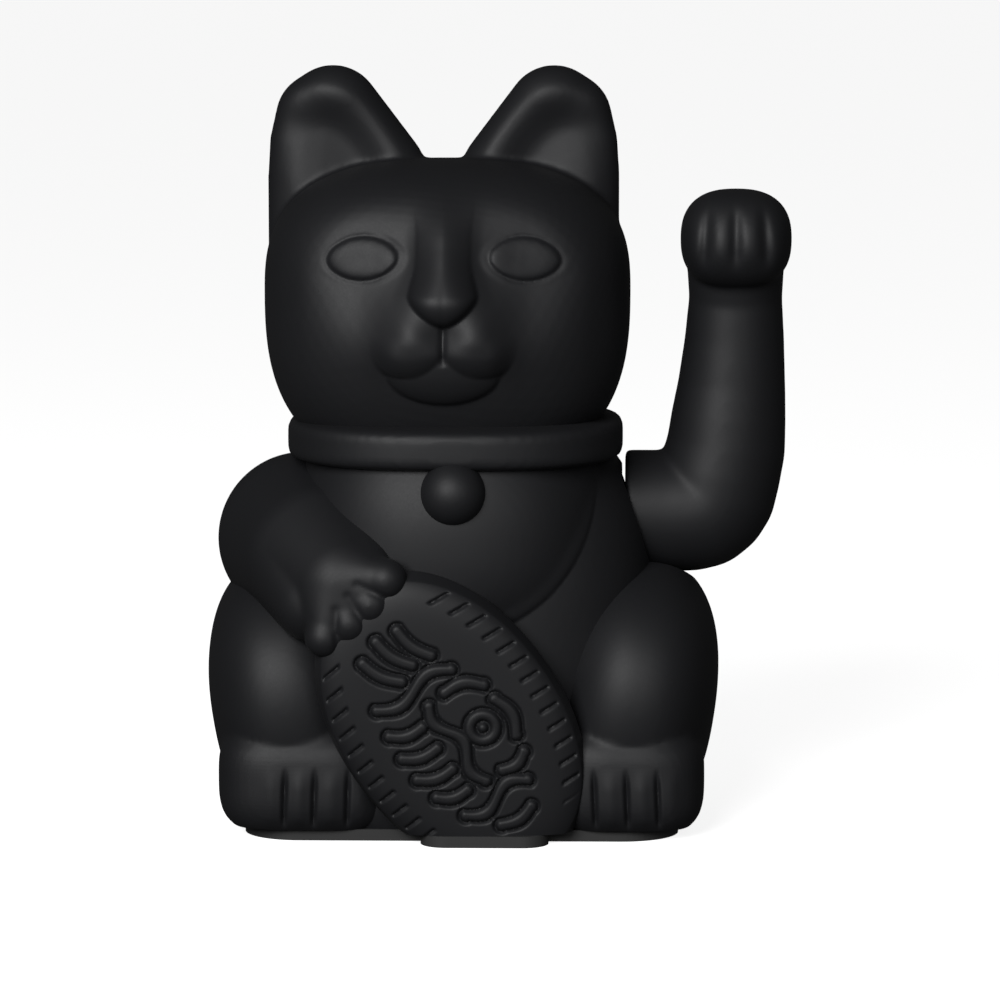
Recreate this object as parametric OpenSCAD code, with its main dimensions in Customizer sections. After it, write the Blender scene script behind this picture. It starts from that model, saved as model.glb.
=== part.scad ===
// Beckoning cat figurine with a battery-driven waving arm.
// Origin: centre of the base's resting face. +Z is up, the face looks along -Y, the raised arm is at +X.

/* [Figure] */
// Overall height, from the resting face to the ear tips
height = 148; // [130:1:170]
// Wall thickness of the moulded body shells
wall = 2; // [1.6:0.1:2.4]
// Wall thickness of the moulded arm shells
arm_wall = 1.6; // [1.2:0.1:2]
// How far the head sits towards the coin side
head_shift = 3.1; // [0:0.1:4]

/* [Waving arm] */
// Height of the arm's axle above the resting face
axle_z = 59.8; // [59:0.2:61]
// Distance of the axle behind the figure's middle
axle_y = 4; // [3:0.5:5]
// Diameter of the steel axle
axle_d = 3; // [2.5:0.1:3.2]
// Gap between the arm's end face and the body
shoulder_gap = 0.6; // [0.5:0.1:1]

/* [Drive] */
// Length of the pendulum, from the axle to the magnet's lower face
pendulum_len = 35; // [34:0.5:36]
// Diameter of the counterweight slug
slug_d = 15; // [12:0.5:16]
// Length of the counterweight slug
slug_len = 18; // [12:1:20]
// Distance between the two bearings
bearing_span = 30; // [26:1:34]

/* [Battery] */
// Diameter of the single AA cell
cell_d = 14.2; // [13.5:0.1:14.5]
// Length of the single AA cell without its button
cell_len = 49; // [48:0.5:50]

/* [Hidden] */
eps = 0.01;
big = 400;
k = height / 148;          // every outer form follows the overall height
form_segs = 26;            // facets round a moulded form
form_rings = 14;           // facets from top to bottom of a moulded form
seam_y = axle_y;           // the two body shells meet on the axle's plane
skirt_z = 2.2;             // the shells start here, on the base plate's flange
shoulder_x = 31;           // flat face of the body at the waving arm
pocket_r = 13.4;           // round recess in which the elbow turns
arm_x0 = shoulder_x + shoulder_gap;
axle_r = axle_d / 2;
run_clear = 0.04;          // radial running clearance of the axle in its bushes
head_c = [-head_shift, -1.5, 104];
plate_t = 2.2;             // base plate thickness
boss_r = 3.4;              // screw bosses inside the shells
pilot_r = 1;               // pilot hole of a self-tapping screw
screw_r = 1.2;
base_screw_at = [[-37, -9], [34, -14], [-29, 24], [29, 24]];
bracket_x = bearing_span / 2;
bracket_t = 2.4;
bracket_foot = 4.4;        // top of the bracket's foot plate
deck_z = 12;              // underside of the deck that carries the coil
coil_top = 23.4;
cell_at = [-2, -17];
cell_z = plate_t + 0.6 + cell_d / 2;
tub_wall = 1.4;
tub_len = cell_len + 8;
tub_w = cell_d + 1.6;
tub_top = cell_z + cell_d / 2 + 2;
cover_len = tub_len + 3;
cover_w = tub_w + 3;
board_at = [0, 25.5];
board_size = [26, 13, 1.6];
board_z = 6.4;
switch_at = [34, -2];
switch_travel = 3;
plastic = "#1d1e22";

// Signed power, which squares off a round form
function spow(a, n) = sign(a) * pow(abs(a), n);

// A rounded solid with half-sizes r: n = 2 is an ellipsoid, and a larger n is boxier. low is its depth below the middle
module form(c, r, n = 2.4, turn = [0, 0, 0], low = undef, inset = 0) {
    e = 2 / n;
    down = (is_undef(low) ? r[2] * k : low * k) - inset;
    s = [r[0] * k - inset, r[1] * k - inset, r[2] * k - inset];
    segs = inset > 0 ? 18 : form_segs;
    rings = inset > 0 ? 10 : form_rings;
    rows = [for (i = [1 : rings - 1]) -90 + 180 * i / rings];
    points = concat(
        [[0, 0, -down]],
        [for (a = rows, j = [0 : segs - 1]) let (b = 360 * j / segs)
            [s[0] * spow(cos(a), e) * spow(cos(b), e),
             s[1] * spow(cos(a), e) * spow(sin(b), e),
             (a < 0 ? down : s[2]) * spow(sin(a), e)]],
        [[0, 0, s[2]]]);
    top = len(points) - 1;
    faces = concat(
        [for (j = [0 : segs - 1]) [0, 1 + j, 1 + (j + 1) % segs]],
        [for (i = [0 : rings - 3], j = [0 : segs - 1])
            let (p = 1 + i * segs + j, q = 1 + i * segs + (j + 1) % segs)
            [p, p + segs, q + segs, q]],
        [for (j = [0 : segs - 1])
            [top, top - segs + (j + 1) % segs, top - segs + j]]);
    translate(c * k) rotate(turn) hull() polyhedron(points, faces);
}

// Two balls and all between them
module limb(a, ra, b, rb, inset = 0) {
    hull() {
        translate(a * k) sphere(ra * k - inset, $fn = inset > 0 ? 16 : 24);
        translate(b * k) sphere(rb * k - inset, $fn = inset > 0 ? 16 : 24);
    }
}

// One ear: side is -1 towards the coin and 1 towards the waving arm
module ear(side, inset = 0) {
    x = head_c[0] - 1.3;
    difference() {
        hull() {
            translate([x + side * 22.2, 5, 138.1] * k) scale([1, 0.62, 1]) sphere(9.4 * k - inset, $fn = 24);
            translate([x + side * 25.8, 5, 128] * k) sphere(8.4 * k - inset, $fn = 20);
            translate([x + side * 26.6, 5, 112] * k) sphere(8.2 * k - inset, $fn = 20);
            translate([x + side * 8.5, 5, 124.5] * k) sphere(6 * k - inset, $fn = 20);
        }
        // the hollow of the ear faces forward
        form([x + side * 22.6, -8.3, 130], [9.6, 10, 16.5], 2, [0, side * -14, 0], inset = -inset);
    }
}

module head(inset = 0) {
    form(head_c, [35.6, 31.5, 25.4], 2.7, low = 35.8, inset = inset);
    form(head_c + [0, -29, 2], [5.2, 8, 17], 2.2, [12, 0, 0], inset = inset);
    for (side = [-1, 1])
        form(head_c + [side * 6, -28.5, -11], [8.5, 8, 7.5], 2.1, inset = inset);
    form(head_c + [0, -26, -18], [10, 7.5, 6], 2.1, inset = inset);
    for (side = [-1, 1])
        form(head_c + [side * 15.4, -27.5, 1.2], [6.9, 4.5, 4.2], 2, inset = inset);
    for (side = [-1, 1]) ear(side, inset);
}

module trunk(inset = 0) {
    form([-1.6, -1.5, 75.65], [32.4, 31.5, 4.4], 3, inset = inset);
    form([0, 3, 40], [37.5, 33, 43], 2.5, inset = inset);
    form([-2, -6, 58], [29, 28, 30], 2.2, inset = inset);
    form([0, 8, 22], [42, 31, 28], 2.8, low = 31, inset = inset);
    form([-2, -16, 12], [34, 15.5, 16], 2.8, inset = inset);
}

module legs(inset = 0) {
    for (side = [-1, 1]) {
        form([side * 33.4, -5, 24.5], [16, 28, 26.5], 2.3, [14, side * 8, 0], inset = inset);
        form([side * 31.6, -19, 9], [14.3, 16.5, 10], 2.8, low = 9, inset = inset);
    }
}

// The arm that holds the coin, moulded in one with the body
module coin_arm(inset = 0) {
    limb([-31.4, -3, 55.2], 16.8, [-27, -20, 53], 13.5, inset);
    limb([-27, -20, 53], 13.5, [-19, -30, 48], 10.4, inset);
}

module coin(inset = 0) {
    intersection() {
        form([-1.7, -33.5, 25.5], [20.6, 7, 30.8], 2.1, [5, -35, 0], inset = inset);
        translate([-big / 2, -big / 2, -eps]) cube([big, big, big]);
    }
}

// All of the figure's fixed outer form, or its hollow where inset is the wall
module figure(inset = 0) {
    difference() {
        union() {
            head(inset);
            trunk(inset);
            legs(inset);
            coin_arm(inset);
            coin(inset);
            if (inset == 0) translate([-1.2, -31.5, 67.6] * k) sphere(6.2 * k, $fn = 28);
        }
        // flat shoulder face and the round recess for the elbow
        translate([shoulder_x - inset, axle_y, axle_z]) rotate([0, 90, 0])
            cylinder(r = pocket_r + inset, h = big, $fn = 48);
        translate([-big / 2, -big / 2, skirt_z - inset - big]) cube([big, big, big]);
    }
}

// Everything in front of the seam, or behind it
module half_space(front) {
    translate([-big / 2, front ? seam_y - big : seam_y, -big / 2]) cube([big, big, big]);
}

// A screw boss with the rib that ties it to the side wall
module boss(at) {
    out = sign(at[0]);
    translate([at[0], at[1], 0]) cylinder(r = boss_r, h = 17, $fn = 24);
    translate([min(at[0], at[0] + out * 20), at[1] - 0.8, 0]) cube([20, 1.6, 17]);
}

// What the drive and the battery need free inside the shells
module room(front) {
    if (front) translate([cell_at[0] - tub_len / 2 - 2.4, cell_at[1] - tub_w / 2 - 2.4, -1])
        cube([tub_len + 4.8, 20, tub_top + 2]);
    translate([-32, -10, -1]) cube([64, 24, 12]);
    // the slide switch stands beside the right thigh
    if (front) translate([switch_at[0] - 6.6, switch_at[1] - 4.5, -1]) cube([13.2, 10.6, 9.5]);
    translate([0, axle_y, 24]) scale([1, 1, 1.6]) sphere(28, $fn = 32);
}

module body_half(front) {
    first = front ? 0 : 2;
    color(plastic) union() {
        difference() {
            intersection() {
                figure();
                half_space(front);
            }
            difference() {
                union() {
                    figure(wall);
                    room(front);
                }
                // the screw bosses stand in the hollow
                for (i = [first : first + 1]) boss(base_screw_at[i]);
            }
            for (i = [first : first + 1])
                translate([base_screw_at[i][0], base_screw_at[i][1], 0]) cylinder(r = screw_r + 0.02, h = 14, $fn = 24);
            // the axle leaves through a hole in the shoulder
            translate([shoulder_x - 10, axle_y, axle_z]) rotate([0, 90, 0]) cylinder(r = 3.2, h = 20, $fn = 32);
        }
    }
}

module front_shell() { body_half(true); }
module rear_shell() { body_half(false); }

// Plan outline of the base, grown by d
module base_outline(d = 0) {
    hull() {
        for (side = [-1, 1]) {
            translate([side * 24, 18]) circle(12.5 + d, $fn = 64);
            translate([side * 31, -19]) circle(11 + d, $fn = 64);
        }
    }
    hull() {
        for (x = [-2.5, 12]) {
            translate([x, -32]) circle(5 + d, $fn = 48);
            translate([x, -22]) circle(5 + d, $fn = 48);
        }
    }
}

module base_plate() {
    color(plastic) difference() {
        union() {
            linear_extrude(height = plate_t) base_outline();
            // the battery tub's four walls and roof
            translate([cell_at[0] - tub_len / 2 - tub_wall, cell_at[1] - tub_w / 2 - tub_wall, 0])
                cube([tub_len + 2 * tub_wall, tub_w + 2 * tub_wall, tub_top]);
        }
        translate([cell_at[0] - tub_len / 2, cell_at[1] - tub_w / 2, -1])
            cube([tub_len, tub_w, tub_top - tub_wall + 1]);
        translate([cell_at[0] - cover_len / 2, cell_at[1] - cover_w / 2, -1])
            cube([cover_len, cover_w, 1 + 1.4]);
        for (p = base_screw_at) {
            translate([p[0], p[1], -1]) cylinder(r = 1.5, h = 8, $fn = 32);
            translate([p[0], p[1], -1]) cylinder(r = 3, h = 1 + 1.2, $fn = 32);
        }
        // slot for the switch's knob
        translate([switch_at[0] - 4, switch_at[1] - 1.6, -1]) cube([8, 3.2, 8]);
        // blind pilot holes of the bracket's screws
        for (p = bracket_screw_at) translate([p[0], p[1], 0.5]) cylinder(r = screw_r, h = 4, $fn = 32);
    }
}

module screw(p, len, head_r = 2.6, head_h = 1) {
    translate([p[0], p[1], 0]) union() {
        cylinder(r = head_r, h = head_h, $fn = 32);
        cylinder(r = screw_r, h = head_h + len, $fn = 32);
    }
}

module base_screws() {
    color("silver") for (p = base_screw_at) translate([0, 0, 0.15]) screw(p, 10);
}

bracket_foot_w = 22;
bracket_screw_at = [for (sx = [-1, 1], sy = [-1, 1]) [sx * 20, axle_y + sy * 7]];

// One upright of the bracket, tapering up to the bearing seat
module upright(x) {
    translate([x - bracket_t / 2, axle_y, 0]) rotate([90, 0, 90]) linear_extrude(height = bracket_t)
        polygon([[-10, plate_t], [10, plate_t], [5.5, axle_z], [-5.5, axle_z]]);
    translate([x - bracket_t / 2, axle_y, axle_z]) rotate([0, 90, 0]) cylinder(r = 5.5, h = bracket_t, $fn = 48);
}

module bearing_bracket() {
    color("ivory") difference() {
        union() {
            for (side = [-1, 1]) {
                upright(side * bracket_x);
                translate([side * 19 - 6, axle_y - bracket_foot_w / 2, plate_t])
                    cube([12, bracket_foot_w, bracket_foot - plate_t]);
            }
            translate([-bracket_x, axle_y - 9, deck_z]) cube([2 * bracket_x, 18, 1.6]);
            translate([-bracket_x, axle_y - 9, plate_t]) cube([2 * bracket_x, 18, 1.6]);
        }
        translate([-big / 2, axle_y, axle_z]) rotate([0, 90, 0]) cylinder(r = 3, h = big, $fn = 48);
        for (p = bracket_screw_at) translate([p[0], p[1], 0]) cylinder(r = 1.3, h = 10, $fn = 32);
    }
}

module bracket_screws() {
    color("silver") for (p = bracket_screw_at)
        translate([0, 0, bracket_foot]) mirror([0, 0, 1]) translate([0, 0, -1.2]) screw(p, 3.8, 2.2, 1.2);
}

// A flanged bush whose flange faces outwards
module bush(side) {
    color("gold") translate([side * (bracket_x - bracket_t / 2), axle_y, axle_z]) rotate([0, side * 90, 0])
        difference() {
            union() {
                cylinder(r = 3, h = bracket_t, $fn = 48);
                translate([0, 0, bracket_t]) cylinder(r = 4.4, h = 1, $fn = 48);
            }
            translate([0, 0, -1]) cylinder(r = axle_r + run_clear, h = bracket_t + 4, $fn = 48);
        }
}

module inner_bush() { bush(-1); }
module outer_bush() { bush(1); }

axle_x0 = -bracket_x - 4.6;
axle_x1 = arm_x0 + 8;

module axle() {
    color("silver") translate([axle_x0, axle_y, axle_z]) rotate([0, 90, 0])
        cylinder(r = axle_r, h = axle_x1 - axle_x0, $fn = 48);
}

module axle_clips() {
    clip_x = bracket_x + bracket_t / 2 + 1.3;
    color("dimgray") for (side = [-1, 1]) translate([side * clip_x, axle_y, axle_z]) rotate([0, side * 90, 0])
        difference() {
            cylinder(r = 3.4, h = 0.7, $fn = 32);
            translate([0, 0, -1]) cylinder(r = axle_r, h = 3, $fn = 48);
            translate([0, -0.9, -1]) cube([5, 1.8, 3]);
        }
}

magnet_r = 5;
magnet_t = 4;
cup_z = axle_z - pendulum_len;
slug_drop = 19;
slug_back = 0.8;           // balances the paw, which leans forward

module pendulum_lever() {
    color("ivory") difference() {
        union() {
            translate([-5, axle_y, axle_z]) rotate([0, 90, 0]) cylinder(r = 4.6, h = 10, $fn = 48);
            translate([-1.5, axle_y - 4, cup_z + 4]) cube([3, 8, pendulum_len - 6]);
            translate([0, axle_y, cup_z + 0.6]) cylinder(r = magnet_r + 1.2, h = magnet_t + 1, $fn = 48);
            translate([-slug_len / 2 + 3, axle_y + slug_back, axle_z - slug_drop]) rotate([0, 90, 0])
                cylinder(r = slug_d / 2 + 1.4, h = slug_len - 6, $fn = 48);
        }
        translate([-8, axle_y, axle_z]) rotate([0, 90, 0]) cylinder(r = axle_r, h = 16, $fn = 48);
        translate([0, axle_y, cup_z - 1]) cylinder(r = magnet_r, h = magnet_t + 1, $fn = 48);
        translate([-slug_len, axle_y + slug_back, axle_z - slug_drop]) rotate([0, 90, 0])
            cylinder(r = slug_d / 2, h = 2 * slug_len, $fn = 48);
    }
}

module counterweight() {
    color("gray") translate([-slug_len / 2, axle_y + slug_back, axle_z - slug_drop]) rotate([0, 90, 0])
        cylinder(r = slug_d / 2, h = slug_len, $fn = 48);
}

module drive_magnet() {
    color("silver") translate([0, axle_y, cup_z]) cylinder(r = magnet_r, h = magnet_t, $fn = 48);
}

hub_r = 4.2;

module arm_hub() {
    color("ivory") translate([arm_x0, axle_y, axle_z]) rotate([0, 90, 0]) difference() {
        union() {
            cylinder(r = hub_r, h = 13, $fn = 48);
            translate([0, 0, arm_wall]) cylinder(r = 7, h = 1.6, $fn = 48);
        }
        translate([0, 0, -1]) cylinder(r = axle_r, h = 9.2, $fn = 48);
        translate([0, 0, 8]) cylinder(r = pilot_r, h = 9, $fn = 32);
    }
}

module hub_screw() {
    color("silver") translate([arm_x0 + 14, axle_y, axle_z]) rotate([0, -90, 0]) union() {
        cylinder(r = 2.4, h = 1, $fn = 32);
        cylinder(r = pilot_r, h = 4.7, $fn = 32);
    }
}

// The waving arm's outer form, or its hollow where inset is the wall
module arm_form(inset = 0) {
    ry = axle_y;
    hull() {
        translate([arm_x0 + inset, ry, axle_z]) rotate([0, 90, 0]) cylinder(r = 12 * k - inset, h = 2, $fn = 48);
        translate([47.6, ry, axle_z + 0.9]) sphere(12.4 * k - inset, $fn = 32);
    }
    limb([47.6, ry, axle_z + 0.9], 12.4, [51.8, ry, 71], 11.6, inset);
    limb([51.8, ry, 71], 11.6, [52.6, ry, 84], 10.6, inset);
    limb([52.6, ry, 84], 10.6, [53.4, ry - 1, 102], 9, inset);
    limb([53.4, ry - 1, 102], 9, [53.3, ry - 3, 112], 10, inset);
    form([53.1, ry - 6, 113.8], [10.9, 11.5, 9.6], 2.5, [12, 0, 0], inset = inset);
}

module arm_half(front) {
    color(plastic) difference() {
        intersection() {
            arm_form();
            half_space(front);
        }
        arm_form(arm_wall);
        translate([arm_x0 - 1, axle_y, axle_z]) rotate([0, 90, 0]) cylinder(r = hub_r + 0.1, h = 4, $fn = 48);
    }
}

module arm_front_half() { arm_half(true); }
module arm_rear_half() { arm_half(false); }

coil_z = deck_z + 1.6;

module coil_bobbin() {
    color("ivory") translate([0, axle_y, coil_z]) difference() {
        union() {
            cylinder(r = 8.6, h = 1, $fn = 48);
            cylinder(r = 3.6, h = coil_top - coil_z, $fn = 48);
            translate([0, 0, coil_top - coil_z - 1]) cylinder(r = 8.6, h = 1, $fn = 48);
        }
        translate([0, 0, -1]) cylinder(r = 2.4, h = coil_top, $fn = 48);
    }
}

module coil_winding() {
    color("peru") translate([0, axle_y, coil_z + 1]) difference() {
        cylinder(r = 8, h = coil_top - coil_z - 2, $fn = 48);
        translate([0, 0, -1]) cylinder(r = 3.6, h = coil_top, $fn = 48);
    }
}

module coil_core() {
    color("dimgray") translate([0, axle_y, coil_z]) cylinder(r = 2.4, h = coil_top - coil_z - 0.4, $fn = 48);
}

board_screw_at = [for (side = [-1, 1]) [board_at[0] + side * 10.6, board_at[1]]];

module circuit_board() {
    color("darkgreen") difference() {
        union() {
            translate([board_at[0] - board_size[0] / 2, board_at[1] - board_size[1] / 2, board_z])
                cube(board_size);
            for (p = board_screw_at) translate([p[0], p[1], plate_t])
                cylinder(r = 2.2, h = board_z - plate_t, $fn = 32);
        }
        for (p = board_screw_at) translate([p[0], p[1], 0]) cylinder(r = pilot_r, h = 12, $fn = 32);
    }
}

module board_screws() {
    color("silver") for (p = board_screw_at)
        translate([p[0], p[1], board_z + board_size[2]]) union() {
            cylinder(r = 1.9, h = 1, $fn = 32);
            translate([0, 0, -5]) cylinder(r = pilot_r, h = 5, $fn = 32);
        }
}

board_top = board_z + board_size[2];

module transistor() {
    color("black") translate([board_at[0] - 4, board_at[1] + 2.4, board_top + 1.6]) intersection() {
        cylinder(r = 2.3, h = 4.6, $fn = 32);
        translate([-3, -3, 0]) cube([6, 4.4, 5]);
    }
    color("silver") for (i = [-1 : 1])
        translate([board_at[0] - 4 + i * 1.27, board_at[1] + 2.4, board_top]) cylinder(r = 0.25, h = 1.6, $fn = 16);
}

module capacitor() {
    color("navy") translate([board_at[0] + 3, board_at[1] + 1.6, board_top]) cylinder(r = 2.5, h = 7, $fn = 32);
}

module resistors() {
    color("tan") for (i = [0 : 1])
        translate([board_at[0] - 5 + 8 * i, board_at[1] - 3.4, board_top + 1]) rotate([0, 90, 0])
            translate([0, 0, -1.8]) cylinder(r = 1, h = 3.6, $fn = 24);
}

// A thin insulated lead: a round tube through the given points
module lead(points, r = 0.55) {
    for (i = [0 : len(points) - 2]) hull() {
        translate(points[i]) sphere(r, $fn = 8);
        translate(points[i + 1]) sphere(r, $fn = 8);
    }
}

coil_lead_a = [[-4, 13.4, 15.4], [-5, 16, 14], [-7, 19.4, 10.4], [-7, 20.4, 8.6]];
coil_lead_b = [[4, 13.4, 15.4], [5, 16, 14], [7, 19.4, 10.4], [7, 20.4, 8.6]];

module coil_leads() {
    color("firebrick") union() {
        lead(coil_lead_a);
        lead(coil_lead_b);
    }
}

module battery_cell() {
    color("goldenrod") translate([cell_at[0] - cell_len / 2, cell_at[1], cell_z]) rotate([0, 90, 0]) union() {
        cylinder(r = cell_d / 2, h = cell_len, $fn = 64);
        translate([0, 0, cell_len]) cylinder(r = 2.7, h = 1.3, $fn = 32);
    }
}

module positive_contact() {
    x = cell_at[0] + tub_len / 2;
    color("silver") union() {
        translate([x - 0.4, cell_at[1] - 5, cell_z - 5]) cube([0.4, 10, 11]);
        translate([x - 2.7, cell_at[1], cell_z]) rotate([0, 90, 0]) cylinder(r = 2, h = 2.5, $fn = 32);
    }
}

// The negative contact is a plate with a conical spring
module negative_spring() {
    x = cell_at[0] - tub_len / 2;
    turns = 3;
    wire_r = 0.35;
    steps = 12;
    color("silver") union() {
        translate([x, cell_at[1] - 5, cell_z - 5]) cube([0.4, 10, 11]);
        for (i = [0 : turns * steps - 1]) hull() for (j = [i, i + 1]) {
            t = j / (turns * steps);
            r = 4.2 - 1.8 * t;
            translate([x + 0.5 + 3.1 * t, cell_at[1] + r * cos(360 * j / steps), cell_z + r * sin(360 * j / steps)])
                sphere(wire_r, $fn = 6);
        }
    }
}

positive_lead = [[28.6, -14, 5], [29.6, -11, 4.8], [31.5, -8.5, 4.8], [32.5, -5.7, 4.8]];
negative_lead = [[-32.6, -14, 5], [-32.8, -4, 3.4], [-28, 14, 3.4], [-18, 24, 6.6], [-14, 28, 9.4], [-11.4, 28.6, 8.7]];

module battery_leads() {
    color("crimson") union() {
        lead(positive_lead);
        lead(negative_lead);
    }
}

module switch_housing() {
    color("dimgray") difference() {
        translate([switch_at[0] - 6, switch_at[1] - 3, plate_t]) cube([12, 6, 5]);
        translate([switch_at[0] - 4.6, switch_at[1] - 1.8, plate_t - 1]) cube([9.2, 3.6, 4.4]);
    }
}

switch_lead_a = [[32, 1.7, 5], [28.5, 9, 4.4], [25.8, 16.4, 4.4], [20.5, 20.5, 6.6], [14.5, 27.4, 9.4], [11.4, 28.6, 8.7]];
switch_lead_b = [[35, 1.7, 5], [31.5, 10, 4.4], [28, 17.8, 4.6], [22.8, 21.8, 6.8], [16, 28.5, 9.8], [9, 31, 8.7]];

module switch_leads() {
    color("black") union() {
        lead(switch_lead_a);
        lead(switch_lead_b);
    }
}

module switch_slider() {
    color("white") union() {
        translate([switch_at[0] - switch_travel / 2 - 1.2, switch_at[1] - 1.3, 0.5]) cube([2.4, 2.6, 2.2]);
        translate([switch_at[0] - switch_travel / 2 - 2, switch_at[1] - 1.6, plate_t + 0.3]) cube([4, 3.2, 1.8]);
    }
}

module battery_cover() {
    color(plastic) union() {
        translate([cell_at[0] - cover_len / 2 + 0.2, cell_at[1] - cover_w / 2 + 0.2, 0])
            cube([cover_len - 0.4, cover_w - 0.4, 1.3]);
        for (i = [-2 : 2]) translate([cell_at[0] + 20 + i * 1.6 - 0.3, cell_at[1] - 4, 1.2]) cube([0.6, 8, 0.3]);
    }
}

front_shell();
rear_shell();
base_plate();
base_screws();
bearing_bracket();
bracket_screws();
inner_bush();
outer_bush();
axle();
axle_clips();
pendulum_lever();
counterweight();
drive_magnet();
arm_hub();
hub_screw();
arm_front_half();
arm_rear_half();
coil_bobbin();
coil_winding();
coil_core();
circuit_board();
board_screws();
transistor();
capacitor();
resistors();
coil_leads();
battery_cell();
positive_contact();
negative_spring();
battery_leads();
switch_housing();
switch_leads();
switch_slider();
battery_cover();
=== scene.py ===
"""Beckoning cat figurine with a battery-driven waving arm: shapes, finishes, light and camera.

The moulded skins are built here from rounded solids that are fused, smoothed and then carved.
The drive, the power parts and the base keep their design meshes and get their finishes here.
Lengths inside the shape classes are in millimetres; meshes leave them in metres.
"""

import logging
import math
from dataclasses import dataclass, field
from enum import Enum
from typing import Any, Protocol, Sequence

import bmesh
import bpy
import numpy as np
from mathutils import Euler, Matrix, Vector

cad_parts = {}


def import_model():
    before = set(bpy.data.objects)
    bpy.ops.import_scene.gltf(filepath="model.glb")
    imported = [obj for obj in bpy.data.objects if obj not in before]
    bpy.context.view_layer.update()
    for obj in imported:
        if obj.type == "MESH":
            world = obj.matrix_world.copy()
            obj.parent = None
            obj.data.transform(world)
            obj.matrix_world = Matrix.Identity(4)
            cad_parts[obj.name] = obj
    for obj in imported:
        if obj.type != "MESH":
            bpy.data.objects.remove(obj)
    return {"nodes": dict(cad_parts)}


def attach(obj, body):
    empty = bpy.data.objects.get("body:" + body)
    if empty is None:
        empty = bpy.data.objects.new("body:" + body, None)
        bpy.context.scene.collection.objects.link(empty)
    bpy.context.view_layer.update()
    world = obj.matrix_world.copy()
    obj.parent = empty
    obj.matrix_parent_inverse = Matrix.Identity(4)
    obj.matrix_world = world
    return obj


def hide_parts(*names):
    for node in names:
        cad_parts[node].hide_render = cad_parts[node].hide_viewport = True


MM = 0.001
CREASE_ANGLE = 38.0  # edges over this angle are shaded crisp, in degrees
CRUMB_POINTS = 50  # a loose shell with fewer points is a cut's leftover
Point = tuple[float, float, float]
Mesh = bpy.types.Mesh
Piece = bpy.types.Object
LOG = logging.getLogger("beckoning_cat")


# ---------------------------------------------------------------- curves used by the carving


def smooth(low: float, high: float, value: np.ndarray) -> np.ndarray:
    """Rise softly from 0 at low to 1 at high.

    Args:
        low: Where the rise starts; it may lie above high, and then the curve falls.
        high: Where the rise ends.
        value: The numbers to map.

    Returns:
        The mapped numbers, each from 0 to 1.
    """
    t = np.clip((value - low) / (high - low), 0.0, 1.0)
    return t * t * (3.0 - 2.0 * t)


def bell_curve(distance: np.ndarray, width: float) -> np.ndarray:
    """Return a soft peak of height 1 and of the given half width."""
    return np.exp(-((distance / width) ** 2))


def dome(radius: np.ndarray, power: float = 2.0) -> np.ndarray:
    """Return the height of a unit dome over a normalised radius, 0 outside it."""
    return np.sqrt(np.clip(1.0 - np.abs(radius) ** power, 0.0, 1.0))


# ---------------------------------------------------------------- solids


class Solid(Protocol):
    """Anything that can add its closed surface to a bmesh, in millimetres."""

    def add(self, bm: bmesh.types.BMesh) -> None:
        """Add the surface."""


@dataclass(frozen=True)
class Form:
    """A rounded solid between an ellipsoid and a box.

    Attributes:
        centre: Its middle.
        half: Its half sizes.
        power: 2 is an ellipsoid, and a larger number is boxier.
        turn: Its turns about X, Y and Z, in degrees.
        low: Its depth below the middle, where that differs from its height.
        side: Its upright profile's own power, where that differs.
    """

    centre: Point
    half: Point
    power: float = 2.4
    turn: Point = (0.0, 0.0, 0.0)
    low: float | None = None
    side: float | None = None

    def inset(self, wall: float) -> "Form":
        """Return the same form, smaller all round.

        Args:
            wall: How much smaller it is on every side.

        Returns:
            The smaller form.
        """
        half = tuple(h - wall for h in self.half)
        low = None if self.low is None else self.low - wall
        return Form(self.centre, half, self.power, self.turn, low, self.side)

    def place(self) -> Matrix:
        """Return the matrix that carries the form from its own axes to the figure's."""
        turn = Euler([math.radians(a) for a in self.turn], "XYZ").to_matrix().to_4x4()
        return Matrix.Translation(self.centre) @ turn

    def add(self, bm: bmesh.types.BMesh) -> None:
        """Add a ball drawn out to the form's shape.

        Args:
            bm: The bmesh that takes it.
        """
        ball = bmesh.ops.create_icosphere(bm, subdivisions=5, radius=1.0)["verts"]
        down = self.half[2] if self.low is None else self.low
        upright = self.side or self.power
        place = self.place()
        for vert in ball:
            d = vert.co
            round_about = (abs(d.x) ** self.power + abs(d.y) ** self.power) ** (upright / self.power)
            reach = (round_about + abs(d.z) ** upright) ** (-1.0 / upright)
            tall = self.half[2] if d.z > 0 else down
            vert.co = place @ (reach * Vector((d.x * self.half[0], d.y * self.half[1], d.z * tall)))


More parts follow.
